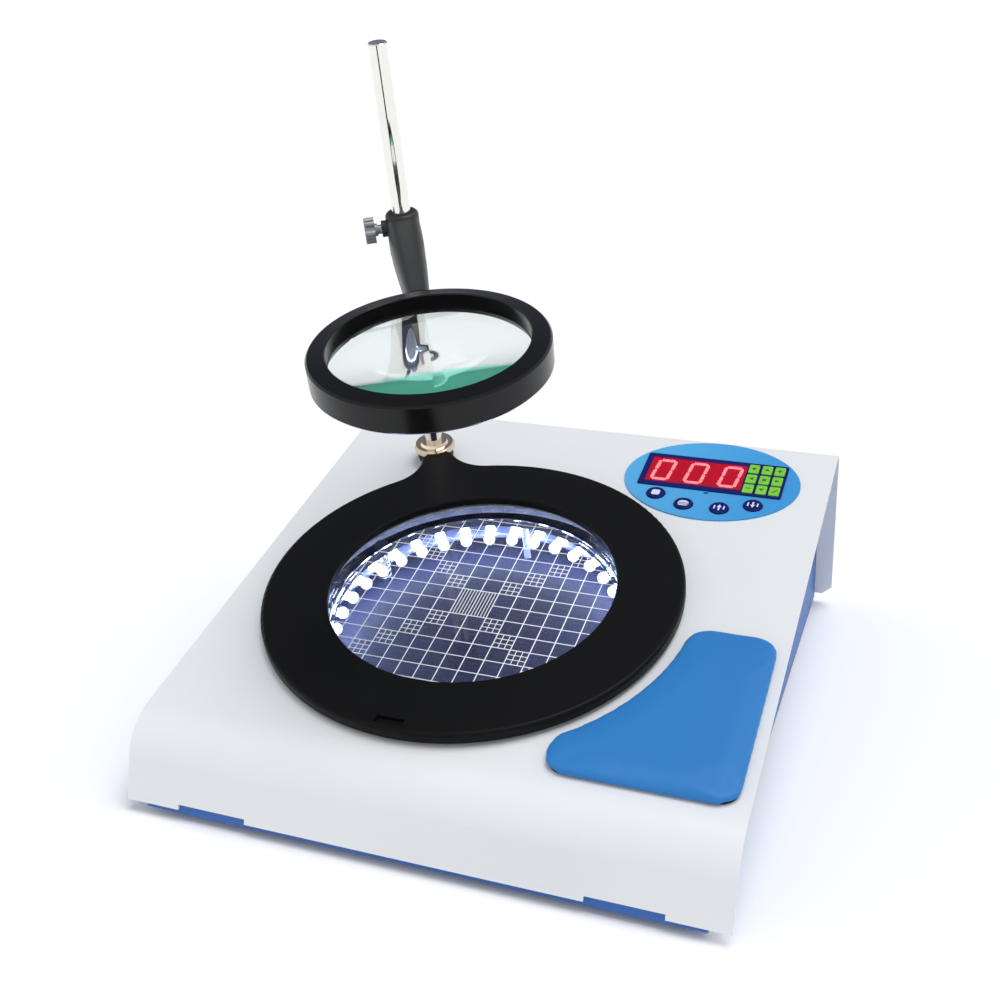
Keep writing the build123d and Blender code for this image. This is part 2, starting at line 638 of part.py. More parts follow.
def fuse_drawer():
    drawer = block(-11, 11, -13.3, -6.7, -17, 3.1)
    drawer -= block(-8, 8, -15, -8.4, -15, -3)
    drawer += block(-4, 4, -10.6, -9.4, 3.0, 4.4)
    return REAR * (Pos(INLET_X, 0) * drawer)


def rocker_housing():
    body = block(-6.5, 6.5, -9.7, 9.7, -16, 0.2) + block(-7.7, 7.7, -10.9, 10.9, 0.05, 1.5)
    body -= block(-5.3, 5.3, -8.6, 8.6, -8, 5)
    body -= Pos(0, 0, -1.0) * Rot(0, 90, 0) * Cylinder(ROCKER_PIN_R + RUNNING, 11.6)
    body += [block(-2.4, 2.4, y - 0.4, y + 0.4, -24, -15) for y in (-6, 6)]
    return REAR * (Pos(ROCKER_X, 0) * body)


def power_rocker():
    """A two-way rocker, resting with its lower end pressed in."""
    outline = [(-7.7, 3.6), (0, 2.0), (7.7, 3.6), (7.0, -3.0), (-7.0, -3.0)]
    wedge = extrude(Plane.YZ * make_face(Polyline(*outline, close=True)), amount=5.0, both=True)
    wedge += Pos(0, 0, -1.0) * Rot(0, 90, 0) * Cylinder(ROCKER_PIN_R, 11.2)
    return REAR * (Pos(ROCKER_X, 0, -1.0) * Rot(7, 0, 0) * Pos(0, 0, 1.0) * wedge)


def pen_jack():
    jack = Pos(0, 0, -14) * Cylinder(4.0, 17, align=BASE)
    jack += Pos(0, 0, 0.05) * extrude(RegularPolygon(6.2, 6), 2.0)
    jack -= Pos(0, 0, -11) * Cylinder(1.8, 30, align=BASE)
    return REAR * (Pos(JACK_X, 0) * jack)


def sensitivity_pot():
    pot = block(-8, 8, -8, 8, -11, -1.3) + rod(3.5, -2, 4.2)
    pot -= rod(3.0 + RUNNING, -8, 10)
    return REAR * (Pos(KNOB_X, 0) * pot)


def sensitivity_knob():
    knob = Pos(0, 0, 4.6) * Cone(8.4, 7.2, 11, align=BASE)
    knob = fillet(top_rim(knob), 0.8)
    knob -= [Rot(0, 0, i * 20) * Pos(8.6, 0, 10) * Cylinder(0.7, 20) for i in range(18)]
    knob -= block(-0.5, 0.5, 2.5, 9, 15.0, 20)
    knob += rod(3.0, -7.5, 6)
    return REAR * (Pos(KNOB_X, 0) * knob)


def power_supply():
    """An open-frame supply: board on pillars, transformer, capacitor and heat sink."""
    board = Pos(-85, 93, 10) * Box(80, 50, 1.6, align=BASE)
    pillars = [Pos(x, y, FOOT_HEIGHT + SHEET + 0.02) * Cylinder(3, 5, align=BASE)
               for x in (-120, -50) for y in (73, 113)]
    supply = board + pillars
    supply += Pos(-92, 93, 11) * Box(28, 26, 22, align=BASE)
    supply += Pos(-62, 84, 11) * Cylinder(7, 21, align=BASE)
    supply += [Pos(-114 + i * 3.0, 93, 11) * Box(1.4, 36, 18, align=BASE) for i in range(3)]
    return supply


def write(name, shape):
    export_step(shape, "parts/" + name + ".step")


def main():
    os.makedirs("parts", exist_ok=True)
    pieces = (
        top_cover, base_pan, feet, case_screws, deck_nuts, stage_ring, guide_bush, dish_well, grid_plate,
        stage_carrier, guide_pins, stage_springs, count_plunger, count_switch, count_switch_lever,
        lamp_housing, led_board, leds, dark_field_plate, palm_rest, palm_rest_base, display_panel,
        display_bezel, display_window, digit_module, digit_segments, tact_switches, control_board, buzzer,
        post, post_socket, arm_liner, magnifier_arm, lens_frame, lens, lens_retainer, thumb_screw,
        thumb_screw_pad, power_inlet, fuse_drawer, rocker_housing, power_rocker, pen_jack,
        sensitivity_pot, sensitivity_knob, power_supply,
    )
    for piece in pieces:
        write(piece.__name__, piece())
    for number, place in enumerate(key_places(), start=1):
        write("key_" + str(number), key(*place))
    for number, place in enumerate(BUTTON_PLACES, start=1):
        write("button_" + str(number), button(*place))


main()
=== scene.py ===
import json
import math
import bmesh
import bpy
from mathutils import Matrix, Vector


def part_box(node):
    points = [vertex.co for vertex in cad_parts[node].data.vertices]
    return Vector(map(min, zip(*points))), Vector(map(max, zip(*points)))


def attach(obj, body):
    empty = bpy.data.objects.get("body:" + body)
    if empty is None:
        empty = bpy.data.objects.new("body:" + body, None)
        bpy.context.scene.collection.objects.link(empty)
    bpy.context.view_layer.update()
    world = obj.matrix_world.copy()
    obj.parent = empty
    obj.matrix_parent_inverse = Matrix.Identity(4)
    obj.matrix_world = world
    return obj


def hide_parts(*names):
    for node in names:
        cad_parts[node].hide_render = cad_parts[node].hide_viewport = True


# Looks for a benchtop colony counter: finishes for the CAD nodes, the soft palm rest, the ruled grid and
# the printed marks. Lengths are in millimetres in the deck frame (u right, v up the slope, n out of the
# deck, zero at the dish's centre) and become metres in deck().

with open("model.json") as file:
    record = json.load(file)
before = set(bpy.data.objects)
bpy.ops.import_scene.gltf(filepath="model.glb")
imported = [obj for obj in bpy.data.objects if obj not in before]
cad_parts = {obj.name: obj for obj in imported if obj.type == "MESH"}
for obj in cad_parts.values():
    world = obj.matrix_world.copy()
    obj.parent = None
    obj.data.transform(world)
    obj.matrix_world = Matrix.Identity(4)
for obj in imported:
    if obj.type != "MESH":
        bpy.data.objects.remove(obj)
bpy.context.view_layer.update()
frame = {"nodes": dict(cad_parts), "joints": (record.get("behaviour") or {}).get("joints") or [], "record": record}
MM = 0.001

# ---------------------------------------------------------------- places, from the frame

JOINTS = {joint["name"]: joint for joint in frame["joints"]}
U = Vector((1, 0, 0))
N = -Vector(JOINTS["stage_press"]["axis"]).normalized()
V = N.cross(U)
GRID_TOP = -6.0
MOUNTS = {mount["name"]: mount for mount in frame["record"]["mounts"]}
ORIGIN = Vector(MOUNTS["dish_rest"]["pos_m"]) - N * GRID_TOP * MM
SLOPE = math.atan2(V.z, V.y)
WELL_R = 75.0
BUTTON_TOP = 1.7            # upper faces along the deck's normal, in millimetres
KEY_TOP = 1.9
OVERLAY_TOP = 0.8


def deck(u, v, n=0.0):
    """A place in the deck frame, in the row frame in metres."""
    return ORIGIN + (U * u + V * v + N * n) * MM


# ---------------------------------------------------------------- materials


def nodes_of(name):
    """A new material's node tree, with its main shader."""
    material = bpy.data.materials.new(name)
    material.use_nodes = True
    tree = material.node_tree
    return material, tree, tree.nodes["Principled BSDF"]


def add(tree, kind, **values):
    """A node with its properties and input values set."""
    made = tree.nodes.new(kind)
    for key, value in values.items():
        if key in made.inputs:
            made.inputs[key].default_value = value
        else:
            setattr(made, key, value)
    return made


def object_place(tree):
    """Coordinates in the row frame, which ride with the piece."""
    return add(tree, "ShaderNodeTexCoord").outputs["Object"]


def deck_place(tree, origin, turn=0.0):
    """Coordinates in metres along the deck, about a place, turned about the deck's normal."""
    mapping = add(tree, "ShaderNodeMapping", vector_type="TEXTURE")
    mapping.inputs["Location"].default_value = origin
    tilted = Matrix.Rotation(SLOPE, 3, "X") @ Matrix.Rotation(turn, 3, "Z")
    mapping.inputs["Rotation"].default_value = tilted.to_euler()
    tree.links.new(object_place(tree), mapping.inputs["Vector"])
    return mapping.outputs["Vector"]


def shade(colour, factor=1.0):
    """A colour made lighter or darker, with its alpha."""
    return tuple(min(1.0, c * factor) for c in colour) + (1.0,)


def finish(name, colour, rough, metal=0.0, mottle=0.06, mottle_scale=25.0, grain=0.02, grain_scale=1500.0,
           rough_spread=0.06, specular=0.5):
    """A solid finish: slight colour and gloss variation, and a fine grain in the surface."""
    material, tree, shader = nodes_of(name)
    place = object_place(tree)
    blotch = add(tree, "ShaderNodeTexNoise", Scale=mottle_scale, Detail=4.0)
    tree.links.new(place, blotch.inputs["Vector"])
    mix = add(tree, "ShaderNodeMix", data_type="RGBA")
    mix.inputs["A"].default_value = shade(colour, 1 - mottle)
    mix.inputs["B"].default_value = shade(colour, 1 + mottle)
    tree.links.new(blotch.outputs["Fac"], mix.inputs["Factor"])
    tree.links.new(mix.outputs["Result"], shader.inputs["Base Color"])
    spread = add(tree, "ShaderNodeTexNoise", Scale=mottle_scale * 3, Detail=3.0)
    tree.links.new(place, spread.inputs["Vector"])
    ranged = add(tree, "ShaderNodeMapRange")
    ranged.inputs["To Min"].default_value = max(0.0, rough - rough_spread)
    ranged.inputs["To Max"].default_value = min(1.0, rough + rough_spread)
    tree.links.new(spread.outputs["Fac"], ranged.inputs["Value"])
    tree.links.new(ranged.outputs["Result"], shader.inputs["Roughness"])
    fine = add(tree, "ShaderNodeTexNoise", Scale=grain_scale, Detail=2.0)
    tree.links.new(place, fine.inputs["Vector"])
    bump = add(tree, "ShaderNodeBump", Strength=0.6, Distance=grain * MM)
    tree.links.new(fine.outputs["Fac"], bump.inputs["Height"])
    tree.links.new(bump.outputs["Normal"], shader.inputs["Normal"])
    shader.inputs["Metallic"].default_value = metal
    shader.inputs["Specular IOR Level"].default_value = specular
    return material


def clear(name, colour, ior=1.49, rough=0.01, cloud=0.0):
    """Clear glass or acrylic, slightly cloudy where asked, with faint handling marks in its gloss."""
    material, tree, shader = nodes_of(name)
    shader.inputs["Base Color"].default_value = shade(colour)
    shader.inputs["Transmission Weight"].default_value = 1.0 - cloud
    shader.inputs["IOR"].default_value = ior
    smear = add(tree, "ShaderNodeTexNoise", Scale=60.0, Detail=5.0)
    tree.links.new(object_place(tree), smear.inputs["Vector"])
    ranged = add(tree, "ShaderNodeMapRange")
    ranged.inputs["From Min"].default_value = 0.45
    ranged.inputs["To Min"].default_value = rough
    ranged.inputs["To Max"].default_value = rough + 0.04
    tree.links.new(smear.outputs["Fac"], ranged.inputs["Value"])
    tree.links.new(ranged.outputs["Result"], shader.inputs["Roughness"])
    return material


LENS_CLEAR = (0.93, 0.99, 0.97)
# the lens's green edge: its own green tint together with a painted reflection, fixed on one side
LENS_PAINTED_GREEN = (0.16, 0.70, 0.52)
PAINTED_GREEN_START = 19.0          # from the lens's centre, away from the arm, in millimetres
PAINTED_GREEN_FULL = 23.0


def lens_material():
    """Clear glass with a milky green stretch towards the edge away from the arm: partly the thick edge's own green
    tint, partly a painted reflection that the lens shows at a slant.
    """
    material = clear("lens_glass", LENS_CLEAR, ior=1.50, rough=0.0)
    tree = material.node_tree
    shader = tree.nodes["Principled BSDF"]
    low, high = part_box("lens")
    middle = (low + high) / 2
    arm_low, arm_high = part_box("arm_liner")
    reach = middle - (arm_low + arm_high) / 2
    turn = math.atan2(reach.dot(V), reach.dot(U))
    place = add(tree, "ShaderNodeSeparateXYZ")
    tree.links.new(deck_place(tree, middle, turn), place.inputs["Vector"])
    zone = add(tree, "ShaderNodeMapRange", interpolation_type="SMOOTHSTEP")
    zone.inputs["From Min"].default_value = PAINTED_GREEN_START * MM
    zone.inputs["From Max"].default_value = PAINTED_GREEN_FULL * MM
    tree.links.new(place.outputs["X"], zone.inputs["Value"])
    painted_green_mix = add(tree, "ShaderNodeMix", data_type="RGBA")
    painted_green_mix.inputs["A"].default_value = shade(LENS_CLEAR)
    painted_green_mix.inputs["B"].default_value = shade(LENS_PAINTED_GREEN)
    tree.links.new(zone.outputs["Result"], painted_green_mix.inputs["Factor"])
    tree.links.new(painted_green_mix.outputs["Result"], shader.inputs["Base Color"])
    solid = add(tree, "ShaderNodeMapRange")
    solid.inputs["To Min"].default_value = 1.0
    solid.inputs["To Max"].default_value = 0.62
    tree.links.new(zone.outputs["Result"], solid.inputs["Value"])
    tree.links.new(solid.outputs["Result"], shader.inputs["Transmission Weight"])
    return material


def glowing(name, colour, strength, body=(1, 1, 1)):
    """Something lit from inside, a little unevenly."""
    material, tree, shader = nodes_of(name)
    shader.inputs["Base Color"].default_value = shade(body)
    shader.inputs["Roughness"].default_value = 0.3
    shader.inputs["Emission Color"].default_value = shade(colour)
    ripple = add(tree, "ShaderNodeTexNoise", Scale=400.0, Detail=2.0)
    tree.links.new(object_place(tree), ripple.inputs["Vector"])
    ranged = add(tree, "ShaderNodeMapRange")
    ranged.inputs["To Min"].default_value = strength * 0.85
    ranged.inputs["To Max"].default_value = strength * 1.15
    tree.links.new(ripple.outputs["Fac"], ranged.inputs["Value"])
    tree.links.new(ranged.outputs["Result"], shader.inputs["Emission Strength"])
    return material


def halo_material(name, colour, strength, share):
    """A thin painted glow: light laid over whatever is behind it, patchy like scatter in cloudy acrylic."""
    material, tree, shader = nodes_of(name)
    shader.inputs["Base Color"].default_value = shade(colour)
    shader.inputs["Emission Color"].default_value = shade(colour)
    shader.inputs["Emission Strength"].default_value = strength
    shader.inputs["Specular IOR Level"].default_value = 0.0
    patches = add(tree, "ShaderNodeTexNoise", Scale=160.0, Detail=1.0)
    tree.links.new(object_place(tree), patches.inputs["Vector"])
    ranged = add(tree, "ShaderNodeMapRange")
    ranged.inputs["To Min"].default_value = share * 0.7
    ranged.inputs["To Max"].default_value = share * 1.3
    tree.links.new(patches.outputs["Fac"], ranged.inputs["Value"])
    tree.links.new(ranged.outputs["Result"], shader.inputs["Alpha"])
    return material


def panel_material():
    """Printed film: light blue, paler towards the left end, deeper towards the right."""
    material = finish("printed_film", (0.10, 0.42, 0.80), 0.36, mottle=0.02, grain=0.006, grain_scale=3000,
                      specular=0.2)
    tree = material.node_tree
    shader = tree.nodes["Principled BSDF"]
    low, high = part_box("display_panel")
    across = add(tree, "ShaderNodeSeparateXYZ")
    tree.links.new(object_place(tree), across.inputs["Vector"])
    span = add(tree, "ShaderNodeMapRange", interpolation_type="SMOOTHSTEP")
    span.inputs["From Min"].default_value = low.x
    span.inputs["From Max"].default_value = high.x
    tree.links.new(across.outputs["X"], span.inputs["Value"])
    ramp = add(tree, "ShaderNodeValToRGB")
    ramp.color_ramp.elements[0].color = (0.09, 0.39, 0.72, 1)
    ramp.color_ramp.elements[1].color = (0.045, 0.29, 0.64, 1)
    tree.links.new(span.outputs["Result"], ramp.inputs["Fac"])
    tree.links.new(ramp.outputs["Color"], shader.inputs["Base Color"])
    return material


def red_window_material():
    """The red filter over the digits, with a faint painted glow for their light."""
    material, tree, shader = nodes_of("red_filter")
    shader.inputs["Roughness"].default_value = 0.12
    noise = add(tree, "ShaderNodeTexNoise", Scale=90.0, Detail=2.0)
    tree.links.new(object_place(tree), noise.inputs["Vector"])
    ramp = add(tree, "ShaderNodeValToRGB")
    ramp.color_ramp.elements[0].color = (0.42, 0.003, 0.018, 1)
    ramp.color_ramp.elements[1].color = (0.54, 0.006, 0.026, 1)
    tree.links.new(noise.outputs["Fac"], ramp.inputs["Fac"])
    tree.links.new(ramp.outputs["Color"], shader.inputs["Base Color"])
    # painted glow: the filter emits a little, standing in for the digits' light shining through it
    shader.inputs["Emission Color"].default_value = (0.80, 0.01, 0.05, 1)
    shader.inputs["Emission Strength"].default_value = 0.12
    shader.inputs["Specular IOR Level"].default_value = 0.2
    shader.inputs["Alpha"].default_value = 0.70
    return material


WHITE_PAINT = finish("white_powder_coat", (0.735, 0.755, 0.775), 0.46, mottle=0.015, grain=0.02,
                     grain_scale=1100)
BLUE_PAINT = finish("blue_powder_coat", (0.022, 0.115, 0.40), 0.46, mottle=0.04, grain=0.02,
                    grain_scale=1100)
RING_BLACK = finish("satin_black", (0.0045, 0.0045, 0.0048), 0.42, mottle=0.2, grain=0.012,
                    grain_scale=2200, specular=0.10)
BLACK_PLASTIC = finish("moulded_black", (0.012, 0.012, 0.013), 0.48, mottle=0.15, grain=0.02,
                       grain_scale=1600, specular=0.35)
GLOSS_BLACK = finish("gloss_black", (0.004, 0.004, 0.0045), 0.20, mottle=0.2, grain=0.004, grain_scale=900,
                     specular=0.28)
ARM_GREY = finish("arm_grey", (0.030, 0.031, 0.031), 0.40, mottle=0.10, grain=0.03, grain_scale=1400,
                  specular=0.25)
CHROME = finish("chrome", (0.86, 0.84, 0.80), 0.06, metal=1.0, mottle=0.03, grain=0.001, grain_scale=400,
                rough_spread=0.025)
BRASS = finish("plated_brass", (0.82, 0.66, 0.50), 0.12, metal=1.0, mottle=0.05, grain=0.002,
               rough_spread=0.04)
STEEL = finish("zinc_steel", (0.56, 0.57, 0.58), 0.32, metal=1.0, mottle=0.10, grain=0.006, grain_scale=700)
ALUMINIUM = finish("turned_aluminium", (0.26, 0.28, 0.29), 0.36, metal=1.0, mottle=0.10, grain=0.02,
                   grain_scale=800)
BLACK_ANODISED = finish("black_anodised", (0.03, 0.03, 0.035), 0.38, metal=0.6, mottle=0.08)
RUBBER = finish("foot_rubber", (0.018, 0.018, 0.018), 0.75, mottle=0.15, grain=0.05, grain_scale=900)
NAVY = finish("navy_print", (0.007, 0.011, 0.12), 0.38, mottle=0.05, grain=0.006, grain_scale=2500,
              specular=0.12)
KEY_GREEN = finish("key_green", (0.19, 0.56, 0.05), 0.42, mottle=0.22, mottle_scale=160, grain=0.012,
                   specular=0.2)
DARK_GREEN = finish("key_print", (0.02, 0.16, 0.02), 0.45)
PALE_PRINT = finish("pale_print", (0.62, 0.70, 0.84), 0.40, mottle=0.05)
WHITE_INK = finish("white_ink", (0.92, 0.94, 0.97), 0.55, mottle=0.04, mottle_scale=300)
WHITE_PLASTIC = finish("white_plastic", (0.62, 0.66, 0.74), 0.5, mottle=0.03)
KNOB_GREY = finish("knob_grey", (0.055, 0.058, 0.062), 0.5, mottle=0.1, grain=0.03)
BOARD_GREEN = finish("solder_mask", (0.01, 0.13, 0.05), 0.35, mottle=0.25, mottle_scale=300)
DARK_FIELD = finish("dark_field", (0.008, 0.012, 0.040), 0.5, mottle=0.1, grain=0.004, specular=0.2)
HOUSING = finish("lamp_housing_navy", (0.012, 0.016, 0.045), 0.55, mottle=0.08, specular=0.2)
LAMP_BOARD = finish("lamp_board", (0.10, 0.12, 0.22), 0.5, mottle=0.1)
ACRYLIC = clear("clear_acrylic", (0.95, 0.98, 1.0), ior=1.49, rough=0.01)
GRID_GLASS = clear("grid_glass", (0.66, 0.72, 0.98), ior=1.42, rough=0.0, cloud=0.035)
LENS_GLASS = lens_material()
LAMP_GLOW = glowing("lamp_glow", (0.84, 0.91, 1.0), 55.0)
HALO = halo_material("lamp_halo", (0.80, 0.88, 1.0), 3.2, 0.55)
SEGMENT_GLOW = glowing("segment_glow", (1.0, 0.42, 0.45), 9.0, body=(1, 0.3, 0.3))

FINISHES = {
    "top_cover": WHITE_PAINT, "base_pan": BLUE_PAINT, "feet": RUBBER, "case_screws": STEEL,
    "deck_nuts": STEEL,
    "stage_ring": RING_BLACK, "guide_bush": BRASS, "dish_well": ACRYLIC, "grid_plate": GRID_GLASS,
    "stage_carrier": BLACK_ANODISED, "guide_pins": STEEL, "stage_springs": STEEL,
    "count_plunger": WHITE_PLASTIC, "count_switch": BLACK_PLASTIC, "count_switch_lever": STEEL,
    "lamp_housing": HOUSING, "led_board": LAMP_BOARD, "leds": LAMP_GLOW, "dark_field_plate": DARK_FIELD,
    "palm_rest_base": BLACK_PLASTIC, "display_panel": panel_material(), "display_bezel": NAVY,
    "display_window": red_window_material(), "digit_module": BLACK_PLASTIC, "digit_segments": SEGMENT_GLOW,
    "tact_switches": BLACK_PLASTIC, "control_board": BOARD_GREEN, "buzzer": BLACK_PLASTIC, "post": CHROME,
    "post_socket": ALUMINIUM, "arm_liner": BLACK_PLASTIC, "magnifier_arm": ARM_GREY,
    "lens_frame": GLOSS_BLACK, "lens": LENS_GLASS, "lens_retainer": GLOSS_BLACK, "thumb_screw": ALUMINIUM,
    "thumb_screw_pad": BRASS, "power_inlet": BLACK_PLASTIC, "fuse_drawer": BLACK_PLASTIC,
    "rocker_housing": BLACK_PLASTIC, "power_rocker": GLOSS_BLACK, "pen_jack": STEEL,
    "sensitivity_pot": STEEL, "sensitivity_knob": KNOB_GREY, "power_supply": BOARD_GREEN,
}
for number in range(1, 10):
    FINISHES["key_" + str(number)] = KEY_GREEN
for number in range(1, 5):
    FINISHES["button_" + str(number)] = NAVY


def paint(node, material):
    """Puts a material on every slot of a CAD node."""
    mesh = frame["nodes"][node].data
    if not mesh.materials:
        mesh.materials.append(material)
    for index in range(len(mesh.materials)):
        mesh.materials[index] = material


for node_name, node_finish in FINISHES.items():
    paint(node_name, node_finish)


# ---------------------------------------------------------------- mesh helpers


def linked(name, data):
    """A new object in the scene."""
    made = bpy.data.objects.new(name, data)
    bpy.context.scene.collection.objects.link(made)
    return made


def mesh_object(name, bm, material, smooth=False):
    """An object from a finished bmesh, which is freed."""
    mesh = bpy.data.meshes.new(name)
    bm.to_mesh(mesh)
    bm.free()
    if smooth:
        mesh.shade_smooth()
    mesh.materials.append(material)
    return linked(name, mesh)


def piece(name, mesh_builder, material, body, smooth=False):
    """A mesh object made by mesh_builder(bm), riding on a body."""
    bm = bmesh.new()
    mesh_builder(bm)
    bmesh.ops.recalc_face_normals(bm, faces=bm.faces)
    made = mesh_object(name, bm, material, smooth)
    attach(made, body)


def plate(bm, outline, low, high):
    """A closed plate between two heights over an outline of (u, v) points in the deck frame."""
    bottom = [bm.verts.new(deck(u, v, low)) for u, v in outline]
    top = [bm.verts.new(deck(u, v, high)) for u, v in outline]
    bm.faces.new(bottom[::-1])
    bm.faces.new(top)
    count = len(outline)
    for i in range(count):
        j = (i + 1) % count
        bm.faces.new((bottom[i], bottom[j], top[j], top[i]))


def bar(start, end, width):
    """The outline of a straight stroke."""
    along = (Vector(end) - Vector(start)).normalized()
    side = Vector((-along.y, along.x)) * width / 2
    corners = (Vector(start) + side, Vector(start) - side, Vector(end) - side, Vector(end) + side)
    return [tuple(corner) for corner in corners]


def oval(u, v, ru, rv, start=0.0, end=360.0, steps=28):
    """An oval's outline, or a stretch of one."""
    whole = abs(end - start) >= 360
    count = steps if whole else steps + 1
    angles = [math.radians(start + (end - start) * i / steps) for i in range(count)]
    return [(u + ru * math.cos(a), v + rv * math.sin(a)) for a in angles]


# ---------------------------------------------------------------- the ruled grid

PITCH = 10.0                # between main lines
THIRD = PITCH / 6           # from a square's middle to the lines that divide it in three
GRID_R = WELL_R - 1.2
LINE = 0.55
FINE_LINE = 0.42
INK = 0.04                  # thickness of the printed lines
CROSSING = 0.005            # how much prouder the lines along u are than those along v
INK_LOW = GRID_TOP + 0.01
INK_HIGH = INK_LOW + INK


def ruled_grid(bm):
    """10 mm squares; the middle four hold fine lines, and squares along both diagonals a three by three."""
    for k in range(-7, 8):
        offset = k * PITCH
        reach = math.sqrt(GRID_R ** 2 - offset ** 2)
        plate(bm, bar((offset, -reach), (offset, reach), LINE), INK_LOW, INK_HIGH)
        stretches = ((-reach, -PITCH), (PITCH, reach)) if k == 0 else ((-reach, reach),)
        for a, b in stretches:
            plate(bm, bar((a, offset), (b, offset), LINE), INK_LOW, INK_HIGH + CROSSING)
    for k in range(-5, 6):
        if k:
            plate(bm, bar((k * THIRD, -PITCH), (k * THIRD, PITCH), FINE_LINE), INK_LOW, INK_HIGH)
    for k in range(1, 6):
        for side_u in (-1, 1):
            for side_v in (-1, 1):
                subdivided(bm, side_u * (k + 0.5) * PITCH, side_v * (k + 0.5) * PITCH)


def subdivided(bm, u, v):
    """One square divided three by three, if it lies inside the well."""
    half = PITCH / 2
    if math.hypot(abs(u) + half, abs(v) + half) > GRID_R:
        return
    for step in (-THIRD, THIRD):
        plate(bm, bar((u + step, v - half), (u + step, v + half), FINE_LINE), INK_LOW, INK_HIGH)
        plate(bm, bar((u - half, v + step), (u + half, v + step), FINE_LINE), INK_LOW, INK_HIGH + CROSSING)


piece("grid_ruling", ruled_grid, WHITE_INK, "stage")


# ---------------------------------------------------------------- painted glow round the lamps

LAMPS = 36
LAMP_TIP_R = 75.2
LAMP_TIP_N = -22.9
HALO_R = 3.3


def lamp_halos(bm):
    """A small soft ball of painted light at each lamp's nose."""
    for lamp in range(LAMPS):
        turn = math.tau * (lamp + 0.5) / LAMPS
        middle = deck(LAMP_TIP_R * math.cos(turn), LAMP_TIP_R * math.sin(turn), LAMP_TIP_N)
        bmesh.ops.create_icosphere(bm, subdivisions=2, radius=HALO_R * MM, matrix=Matrix.Translation(middle))


piece("lamp_halos", lamp_halos, HALO, "case", smooth=True)


# ---------------------------------------------------------------- printed marks on keys and buttons

KEY_US = (118.5, 125.8, 132.9)
KEY_VS = (138.75, 128.8, 119.2)
BUTTON_PLACES = ((69.8, 105.6), (86.9, 98.6), (106.7, 98.3), (123.9, 104.4))
PRINT = 0.05                # thickness of the printed marks


def printed(outlines, face):
    """A builder of flat marks on a face at that height."""
    def build(bm):
        for outline in outlines:
            plate(bm, outline, face, face + PRINT)
    return build


def key_mark(number, u, v):
    """A plain symbol for each key: dots, bars and arrowheads."""
    shapes = {
        1: [oval(u, v, 1.1, 1.1)],
        2: [[(u - 1.5, v - 1.0), (u + 1.5, v - 1.0), (u, v + 1.4)]],
        3: [bar((u - 1.4, v), (u + 1.4, v), 0.8), bar((u, v + 0.5), (u, v + 1.6), 0.8),
            bar((u, v - 1.6), (u, v - 0.5), 0.8)],
        4: [[(u + 1.2, v - 1.5), (u + 1.2, v + 1.5), (u - 1.4, v)]],
        5: [[(u - 1.1, v - 1.1), (u + 1.1, v - 1.1), (u + 1.1, v + 1.1), (u - 1.1, v + 1.1)]],
        6: [[(u - 1.2, v - 1.5), (u + 1.4, v), (u - 1.2, v + 1.5)]],
        7: [bar((u - 1.4, v), (u + 1.4, v), 0.8)],
        8: [[(u - 1.5, v + 1.0), (u, v - 1.4), (u + 1.5, v + 1.0)]],
        9: [bar((u - 1.3, v - 0.9), (u - 0.3, v - 1.6), 0.7),
            bar((u - 0.3, v - 1.6), (u + 1.4, v + 1.5), 0.7)],
    }
    return shapes[number]


key_places = [(u, v) for v in KEY_VS for u in KEY_US]
for number, (u, v) in enumerate(key_places, start=1):
    key = "key_" + str(number)
    piece(key + "_mark", printed(key_mark(number, u, v), KEY_TOP), DARK_GREEN, key)


def button_mark(number, u, v):
    """Pale plain symbols: a square, a dish under its lid, and two pairs of bars with an arrowhead."""
    if number == 1:
        return [[(u - 2.3, v - 1.6), (u - 1.5, v - 2.4), (u + 1.5, v - 2.4), (u + 2.3, v - 1.6),
                 (u + 2.3, v + 1.6), (u + 1.5, v + 2.4), (u - 1.5, v + 2.4), (u - 2.3, v + 1.6)]]
    if number == 2:
        return [oval(u, v + 0.3, 2.9, 2.1, 0, 180, 16), bar((u - 3.1, v - 0.7), (u + 3.1, v - 0.7), 0.8),
                bar((u - 2.4, v - 2.0), (u + 2.4, v - 2.0), 0.8)]
    tip = 1 if number == 3 else -1
    return [bar((u - 2.6, v - 1.6), (u - 2.6, v + 1.6), 0.8),
            bar((u + 2.6, v - 1.6), (u + 2.6, v + 1.6), 0.8),
            [(u - 1.3, v + tip * 0.1), (u, v + tip * 2.7), (u + 1.3, v + tip * 0.1)],
            bar((u, v - tip * 2.6), (u, v - tip * 0.1), 1.0)]


for number, (u, v) in enumerate(BUTTON_PLACES, start=1):
    button = "button_" + str(number)
    piece(button + "_mark", printed(button_mark(number, u, v), BUTTON_TOP), PALE_PRINT, button)


def sensor_mark(bm):
    """A small dark sensor window in the overlay."""
    plate(bm, bar((95.5, 111.2), (98.0, 111.6), 1.1), OVERLAY_TOP, OVERLAY_TOP + 0.08)


piece("panel_sensor_mark", sensor_mark, NAVY, "case")


# ---------------------------------------------------------------- the palm rest

PAD_GROWTH = 1.3            # how far the skin may swell, in millimetres
PAD_HELD = 1.0              # the stretch above its foot that stays put, in millimetres
PAD_VOXEL = 1.7             # size of the new skin's faces, in millimetres
PAD_STEPS = 20              # frames of the simulation


